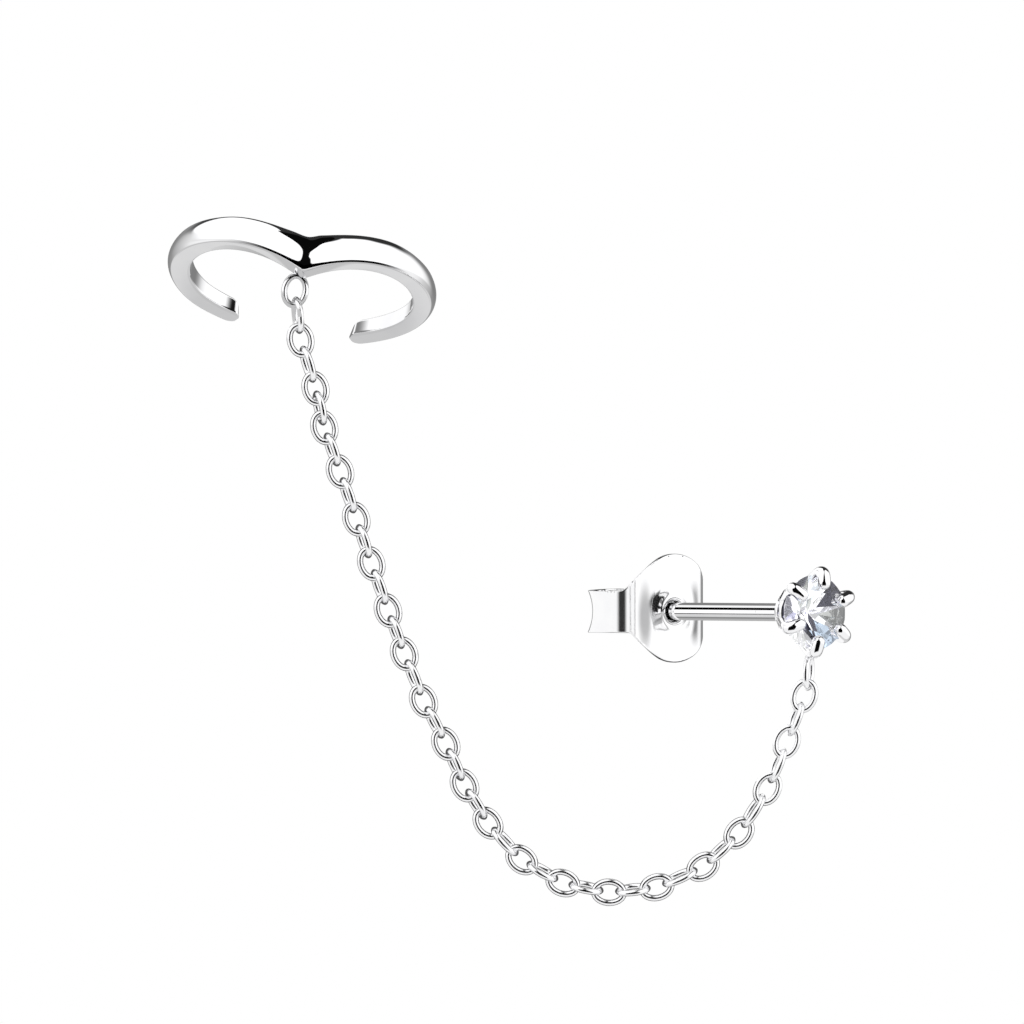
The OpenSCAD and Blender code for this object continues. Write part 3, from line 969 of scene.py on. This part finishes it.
def studio_card(name, verts, faces, bright, one_sided=False, shade=None, mask=None):
    """A small white card or black flag by the object: it shows in the metal only.
    shade and mask take nodes and the place in millimetres, and give brightness and cover."""
    mat = bpy.data.materials.new(name)
    mat.use_nodes = True
    tree = mat.node_tree
    tree.nodes.clear()
    n = Nodes(tree)
    glow = n.new("ShaderNodeEmission")
    glow.inputs["Color"].default_value = (1, 1, 1, 1)
    glow.inputs["Strength"].default_value = bright
    out = n.new("ShaderNodeOutputMaterial")
    place = []
    if shade or mask:
        parts = n.new("ShaderNodeSeparateXYZ")
        n.put(parts.inputs[0], n.new("ShaderNodeTexCoord").outputs["Object"])
        place = [n.math("MULTIPLY", c, 1000.0) for c in parts.outputs]
    if shade:
        n.put(glow.inputs["Strength"], shade(n, *place))
    cover = n.math("SUBTRACT", 1.0, n.new("ShaderNodeNewGeometry").outputs["Backfacing"]) if one_sided else None
    if mask:
        m = mask(n, *place)
        cover = n.math("MULTIPLY", cover, m) if cover else m
    if cover:
        mixed = n.new("ShaderNodeMixShader")
        n.put(mixed.inputs[0], cover)
        n.put(mixed.inputs[1], n.new("ShaderNodeBsdfTransparent").outputs[0])
        n.put(mixed.inputs[2], glow.outputs[0])
        n.put(out.inputs[0], mixed.outputs[0])
    else:
        n.put(out.inputs[0], glow.outputs[0])
    shell = Shell()
    shell.add(verts, faces)
    card = shell.make(name, mat)
    card.visible_camera = card.visible_shadow = card.visible_diffuse = card.visible_transmission = False


def along_view(n, x, y, z, origin):
    """Distance right, towards the camera and up from a place, in millimetres."""
    dx, dy = n.math("SUBTRACT", x, origin.x), n.math("SUBTRACT", y, origin.y)
    u = n.math("ADD", n.math("MULTIPLY", dx, RIGHT.x), n.math("MULTIPLY", dy, RIGHT.y))
    v = n.math("ADD", n.math("MULTIPLY", dx, BACK.x), n.math("MULTIPLY", dy, BACK.y))
    return u, v, n.math("SUBTRACT", z, origin.z)


def blot(n, u, w, u0, w0, wide, tall, lean=0.0, soft=0.6):
    """1 in a soft oval; lean tips its long axis."""
    a, b = n.math("SUBTRACT", u, u0), n.math("SUBTRACT", w, w0)
    b = n.math("SUBTRACT", b, n.math("MULTIPLY", a, lean))
    a, b = n.math("DIVIDE", a, wide), n.math("DIVIDE", b, tall)
    d = n.math("SQRT", n.math("ADD", n.math("MULTIPLY", a, a), n.math("MULTIPLY", b, b)))
    return n.step(d, 1 + soft, 1 - soft)


def lay(n, base, mask, value):
    return n.math("MULTIPLY_ADD", base, n.math("SUBTRACT", 1.0, mask), n.math("MULTIPLY", mask, value))


def make_cards():
    # white card in front of the nut, with a dark blot that shades the plate left of the post
    hub = Vector((0, NUT_Y, 0))
    middle = hub + BACK * 5

    def shade_front(n, x, y, z):
        u, v, w = along_view(n, x, y, z, hub)
        light = lay(n, 1.1, blot(n, u, w, -0.8, -0.25, 2.2, 1.15, 0.0, 0.5), 0.52)
        return lay(n, light, blot(n, u, w, 2.9, 0.25, 2.0, 0.32, 0.0, 0.5), 0.01)

    corners = [middle + RIGHT * u + Vector((0, 0, w)) for u, w in
               ((-4.6, -2.3), (-1, -6), (4.6, -6), (4.6, -0.7), (2.8, -0.7), (2.8, 0.7), (4.6, 0.7), (4.6, 4.5), (-1, 4.5),
                (-4.6, 2.3))]
    studio_card("card_by_nut", corners, [list(range(10))], 1.1, shade=shade_front)
    # one right of it, grey behind
    def shade_side(n, x, y, z):
        u, v, w = along_view(n, x, y, z, hub)
        grey = lay(n, 0.45, n.step(w, 0.3, -0.5), 0.25)
        light = lay(n, grey, n.step(v, -0.5, 0.8), 1.1)
        light = lay(n, light, n.step(v, -0.9, -2.0), 0.95)
        light = lay(n, light, n.step(n.math("ABSOLUTE", n.math("ADD", w, 0.1)), 0.6, 1.5), 1.1)
        return lay(n, light, n.math("MULTIPLY", n.step(v, 1.4, 1.65), n.step(n.math("ABSOLUTE", n.math("ADD", w, -0.24)),
                                                                        0.3, 0.16)), 0.01)

    corners = [hub + RIGHT * 3.2 + BACK * v + Vector((0, 0, w)) for v, w in
               ((-2.4, -2.0), (3.2, -4.0), (3.2, 1.6), (-2.4, 1.8))]
    studio_card("card_right_of_nut", corners, [[0, 1, 2, 3]], 1.1, shade=shade_side)
    # one left of it, with a dark stripe for the start of the scroll
    def shade_left(n, x, y, z):
        u, v, w = along_view(n, x, y, z, hub)
        stripe = n.math("MULTIPLY", n.step(v, 2.1, 1.1), n.step(v, -1.05, -0.3))
        return lay(n, 1.0, stripe, 0.03)

    corners = [hub + RIGHT * -5.2 + BACK * v + Vector((0, 0, w)) for v, w in
               ((-4.6, -2.0), (2.3, -2.0), (2.3, 2.0), (-4.6, 2.0))]
    studio_card("card_left_of_nut", corners, [[0, 1, 2, 3]], 1.0, shade=shade_left)
    # and a white one below it
    middle = Vector((0, NUT_Y, -2.9))
    corners = [middle + RIGHT * u + BACK * w for u, w in ((-3.0, 0.4), (6.5, 0.4), (6.5, 6.8), (-3.0, 6.8))]
    studio_card("card_below_nut", corners, [[0, 1, 2, 3]], 1.0)
    # a dark one close under the nut, which outlines its lower edge
    middle = Vector((0, NUT_Y, -2.55))
    corners = [middle + RIGHT * u + BACK * w for u, w in ((-3.2, -2.6), (2.6, -2.6), (2.6, 0.3), (-3.2, 0.3))]
    studio_card("flag_under_nut", corners, [[0, 1, 2, 3]], 0.06)
    # soft dark flag inside the cuff, for the insides of its ends: black from the left, grey from the right
    turned = CUFF_PLACE.to_3x3() @ Vector((0, 1, 0))
    start = CUFF_PLACE @ Vector((0, 0, 0))

    def along(n, x, y, z):
        out = None
        for c, o, k in zip((x, y, z), start, turned):
            part = n.math("MULTIPLY", n.math("SUBTRACT", c, o), k)
            out = part if out is None else n.math("ADD", out, part)
        return out

    for side, bright, a, b in ((-1, 0.01, 2.76, 2.97), (1, 0.22, 2.74, 3.06)):
        corners = [CUFF_PLACE @ Vector((0.02 * side, u, w)) for u, w in ((1.2, 1.0), (3.3, 1.0), (3.3, 4.2), (1.2, 4.2))]
        order = [0, 1, 2, 3] if side > 0 else [3, 2, 1, 0]
        studio_card(f"flag_in_cuff_{'right' if side > 0 else 'left'}", corners, [order], bright, one_sided=True,
                    mask=lambda n, x, y, z, a=a, b=b: n.step(along(n, x, y, z), b, a))
    corners = [CUFF_PLACE @ Vector((1.75, u, w)) for u, w in ((3.8, 1.3), (6.0, 1.3), (6.0, 2.8), (3.8, 2.8))]
    studio_card("flag_in_gap", corners, [[0, 1, 2, 3]], 0.03, one_sided=True,
                shade=lambda n, x, y, z: lay(n, 0.22, n.step(along(n, x, y, z), 4.4, 4.7), 0.03),
                mask=lambda n, x, y, z: n.step(along(n, x, y, z), 3.85, 3.97))
    # card below and behind, for the flat rim: lighter towards the two sides
    facing = CUFF_PLACE.to_3x3() @ Vector((0, 0, -1))
    thrown = 2 * facing.dot(BACK) * facing - BACK
    origin = CUFF_PLACE @ Vector((0, 0, -0.8)) + thrown * 3
    sideways = CUFF_PLACE.to_3x3() @ Vector((1, 0, 0))

    def spot(n, x, y, z, way):
        out = None
        for c, o, k in zip((x, y, z), origin, way):
            part = n.math("MULTIPLY", n.math("SUBTRACT", c, o), k)
            out = part if out is None else n.math("ADD", out, part)
        return out

    def shade_rim(n, x, y, z):
        side = n.math("ABSOLUTE", spot(n, x, y, z, sideways))
        bright = lay(n, 0.59, n.step(side, 3.7, 5.4), 0.71)
        return lay(n, bright, n.step(spot(n, x, y, z, turned), 8.6, 5.6), 0.55)

    corners = [origin + sideways * u + turned * w for u, w in ((-7.5, -8), (7.5, -8), (7.5, 13), (-7.5, 13))]
    inside_out = (corners[1] - corners[0]).cross(corners[2] - corners[1]).dot(thrown) > 0
    studio_card("card_under_rim", corners, [[3, 2, 1, 0] if inside_out else [0, 1, 2, 3]], 0.66, one_sided=True,
                shade=shade_rim)
    # white card over the gap, for the inside of the right arm
    corners = [CUFF_PLACE @ Vector((0.06, u, w)) for u, w in ((3.2, 0.5), (12.5, 0.5), (12.5, 8.5), (3.2, 8.5))]
    studio_card("card_over_gap", corners, [[0, 1, 2, 3]], 1.05, one_sided=True,
                shade=lambda n, x, y, z: lay(n, 1.05, n.step(along(n, x, y, z), 6.5, 10.5), 0.7))
    # black flag just outside the band's lower edge, which draws the line between highlight and rim
    across = CUFF_PLACE.to_3x3() @ Vector((1, 0, 0))

    def cover_edge(n, x, y, z):
        out = None
        for c, o, k in zip((x, y, z), start, across):
            part = n.math("MULTIPLY", n.math("SUBTRACT", c, o), k)
            out = part if out is None else n.math("ADD", out, part)
        return n.math("MULTIPLY", n.step(out, -4.4, -1.9), n.step(out, 4.9, 3.4))

    for arm, (t0, t1) in enumerate(((-62, -1), (-1, 75))):
        verts, faces = [], []
        for i in range(25):
            t = t0 + (t1 - t0) * i / 24
            level = DIP * (1 - math.exp(-bent(t) / FADE))
            bottom = level - (BAND_H + BAND_GAIN * math.cos(rad(t))) * math.sqrt(
                1 + (DIP * (180 / math.pi) / FADE * math.exp(-bent(t) / FADE) / CUFF_R) ** 2) / 2
            for out, drop in ((0.34, -0.04 + 0.16 * math.exp(-((t + 1) / 9) ** 2)), (0.22, -0.62)):
                r = CUFF_R + out
                verts.append(CUFF_PLACE @ Vector((r * math.sin(rad(t)), -r * math.cos(rad(t)), bottom + drop)))
        for i in range(24):
            faces.append([2 * i + 2, 2 * i + 3, 2 * i + 1, 2 * i])
        studio_card(f"flag_under_cuff_{arm}", verts, faces, 0.0, one_sided=True, mask=cover_edge)
    # grey flag close behind the chain, which outlines its wire
    path = [Vector((x, CHAIN_Y + 0.8, z)) for x, z in [(-19.5, 11.3)] + LINKS[2:20]]
    verts, faces = [], []
    for i, q in enumerate(path):
        t = (path[min(i + 1, len(path) - 1)] - path[max(i - 1, 0)]).normalized()
        side = t.cross(Vector((0, -1, 0)))
        verts += [HANG @ (q + side * 2.2), HANG @ (q - side * 2.2)]
    for i in range(len(path) - 1):
        quad = [2 * i, 2 * i + 1, 2 * i + 3, 2 * i + 2]
        a, b, c = verts[quad[0]], verts[quad[1]], verts[quad[2]]
        faces.append(quad if (b - a).cross(c - b).dot(BACK) > 0 else quad[::-1])
    studio_card("flag_behind_chain", verts, faces, 0.1, one_sided=True)
    # black flags along the post: each draws one dark line down it
    for k, (a0, a1, bright) in enumerate(((66, 130, 0.22), (41, 66, 1.0), (18, 41, 0.0), (-14.5, 18, 1.1),
                                          (-22, -14.5, 0.05), (-50, -23, 0.70), (-72, -50, 0.27), (-130, -72, 0.45))):
        verts, faces = [], []
        for i in range(7):
            a = rad(a0 + (a1 - a0) * i / 6)
            verts += [(-0.6 * math.cos(a), y, 0.6 * math.sin(a)) for y in (0.15, NUT_Y - 0.05)]
        for i in range(6):
            faces.append([2 * i, 2 * i + 1, 2 * i + 3, 2 * i + 2])
        studio_card(f"flag_by_post_{k}", verts, faces, bright, one_sided=True)
    # the post's far side is black to the nut
    verts, faces = [], []
    for i in range(9):
        a = rad(-4 + 96 * i / 8)
        verts += [(-0.46 * math.cos(a), y, 0.46 * math.sin(a)) for y in (2.5, NUT_Y - 0.3)]
    for i in range(8):
        faces.append([2 * i + 2, 2 * i + 3, 2 * i + 1, 2 * i])
    studio_card("flag_on_post", verts, faces, 0.01, one_sided=True)


make_cards()

bpy.ops.mesh.primitive_circle_add(vertices=96, radius=0.6, fill_type="NGON", location=(-0.008, 0.008, -0.045))
floor = bpy.context.object
floor.name = "floor"
floor.data.materials.append(floor_material())
floor.visible_glossy = False

scene = bpy.context.scene
scene.view_settings.view_transform = "Standard"
scene.view_settings.look = "None"
scene.view_settings.exposure = 0
scene.view_settings.gamma = 1
